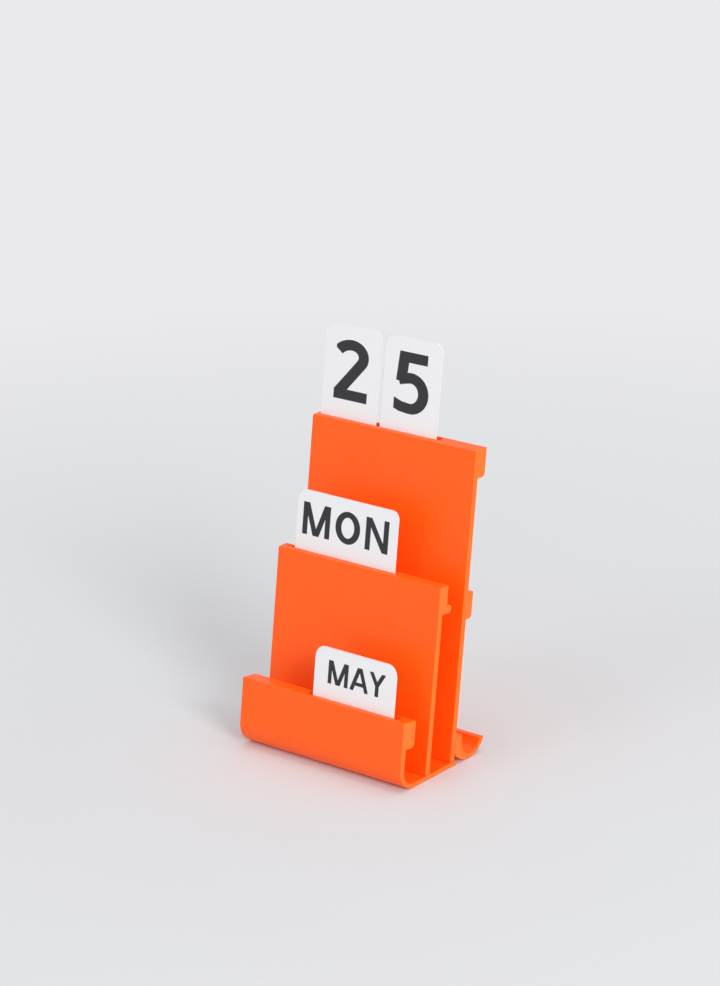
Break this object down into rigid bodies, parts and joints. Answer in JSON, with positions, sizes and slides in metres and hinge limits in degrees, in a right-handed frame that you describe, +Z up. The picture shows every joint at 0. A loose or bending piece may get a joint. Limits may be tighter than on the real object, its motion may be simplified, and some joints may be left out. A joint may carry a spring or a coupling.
{
  "type": "perpetual desk calendar",
  "caption": "Stepped desk calendar stand with three leaning card panels, a pen trough along the front, a small scoop tray behind, and lift-out day, weekday and month cards.",
  "frame": {"origin": "on the desk, midway along the width and midway between the lines on which the front tray and the rear tray touch the desk", "axes": "+X along the width to the reader's right, +Y to the back, +Z up"},
  "size_m": [0.086, 0.062, 0.1728],
  "materials": {
    "orange_plastic": "satin printed plastic",
    "white_card": "matt white card",
    "dark_ink": "matt print"
  },
  "bodies": {
    "stand": {"front_tray": "orange_plastic", "middle_panel": "orange_plastic", "rear_panel": "orange_plastic", "rear_tray": "orange_plastic"},
    "tens_1": {"tens_card_1": "white_card"},
    "tens_2": {"tens_card_2": "white_card"},
    "ones_1": {"ones_card_1": "white_card"},
    "ones_2": {"ones_card_2": "white_card"},
    "ones_3": {"ones_card_3": "white_card"},
    "ones_4": {"ones_card_4": "white_card"},
    "ones_5": {"ones_card_5": "white_card"},
    "weekday_1": {"weekday_card_1": "white_card"},
    "weekday_2": {"weekday_card_2": "white_card"},
    "weekday_3": {"weekday_card_3": "white_card"},
    "weekday_4": {"weekday_card_4": "white_card"},
    "month_1": {"month_card_1": "white_card"},
    "month_2": {"month_card_2": "white_card"},
    "month_3": {"month_card_3": "white_card"},
    "month_4": {"month_card_4": "white_card"},
    "month_5": {"month_card_5": "white_card"},
    "month_6": {"month_card_6": "white_card"}
  },
  "joints": [
    {"name": "lift_tens_1", "type": "slide", "parent": "stand", "child": "tens_1", "axis": [0, 0.1392, 0.9903], "range_m": [0, 0.052]},
    {"name": "lift_tens_2", "type": "slide", "parent": "stand", "child": "tens_2", "axis": [0, 0.1392, 0.9903], "range_m": [0, 0.052]},
    {"name": "lift_ones_1", "type": "slide", "parent": "stand", "child": "ones_1", "axis": [0, 0.1392, 0.9903], "range_m": [0, 0.052]},
    {"name": "lift_ones_2", "type": "slide", "parent": "stand", "child": "ones_2", "axis": [0, 0.1392, 0.9903], "range_m": [0, 0.052]},
    {"name": "lift_ones_3", "type": "slide", "parent": "stand", "child": "ones_3", "axis": [0, 0.1392, 0.9903], "range_m": [0, 0.052]},
    {"name": "lift_ones_4", "type": "slide", "parent": "stand", "child": "ones_4", "axis": [0, 0.1392, 0.9903], "range_m": [0, 0.052]},
    {"name": "lift_ones_5", "type": "slide", "parent": "stand", "child": "ones_5", "axis": [0, 0.1392, 0.9903], "range_m": [0, 0.052]},
    {"name": "lift_weekday_1", "type": "slide", "parent": "stand", "child": "weekday_1", "axis": [0, 0.1392, 0.9903], "range_m": [0, 0.036]},
    {"name": "lift_weekday_2", "type": "slide", "parent": "stand", "child": "weekday_2", "axis": [0, 0.1392, 0.9903], "range_m": [0, 0.036]},
    {"name": "lift_weekday_3", "type": "slide", "parent": "stand", "child": "weekday_3", "axis": [0, 0.1392, 0.9903], "range_m": [0, 0.036]},
    {"name": "lift_weekday_4", "type": "slide", "parent": "stand", "child": "weekday_4", "axis": [0, 0.1392, 0.9903], "range_m": [0, 0.036]},
    {"name": "lift_month_1", "type": "slide", "parent": "stand", "child": "month_1", "axis": [0, 0.1392, 0.9903], "range_m": [0, 0.034]},
    {"name": "lift_month_2", "type": "slide", "parent": "stand", "child": "month_2", "axis": [0, 0.1392, 0.9903], "range_m": [0, 0.034]},
    {"name": "lift_month_3", "type": "slide", "parent": "stand", "child": "month_3", "axis": [0, 0.1392, 0.9903], "range_m": [0, 0.034]},
    {"name": "lift_month_4", "type": "slide", "parent": "stand", "child": "month_4", "axis": [0, 0.1392, 0.9903], "range_m": [0, 0.034]},
    {"name": "lift_month_5", "type": "slide", "parent": "stand", "child": "month_5", "axis": [0, 0.1392, 0.9903], "range_m": [0, 0.034]},
    {"name": "lift_month_6", "type": "slide", "parent": "stand", "child": "month_6", "axis": [0, 0.1392, 0.9903], "range_m": [0, 0.034]}
  ]
}
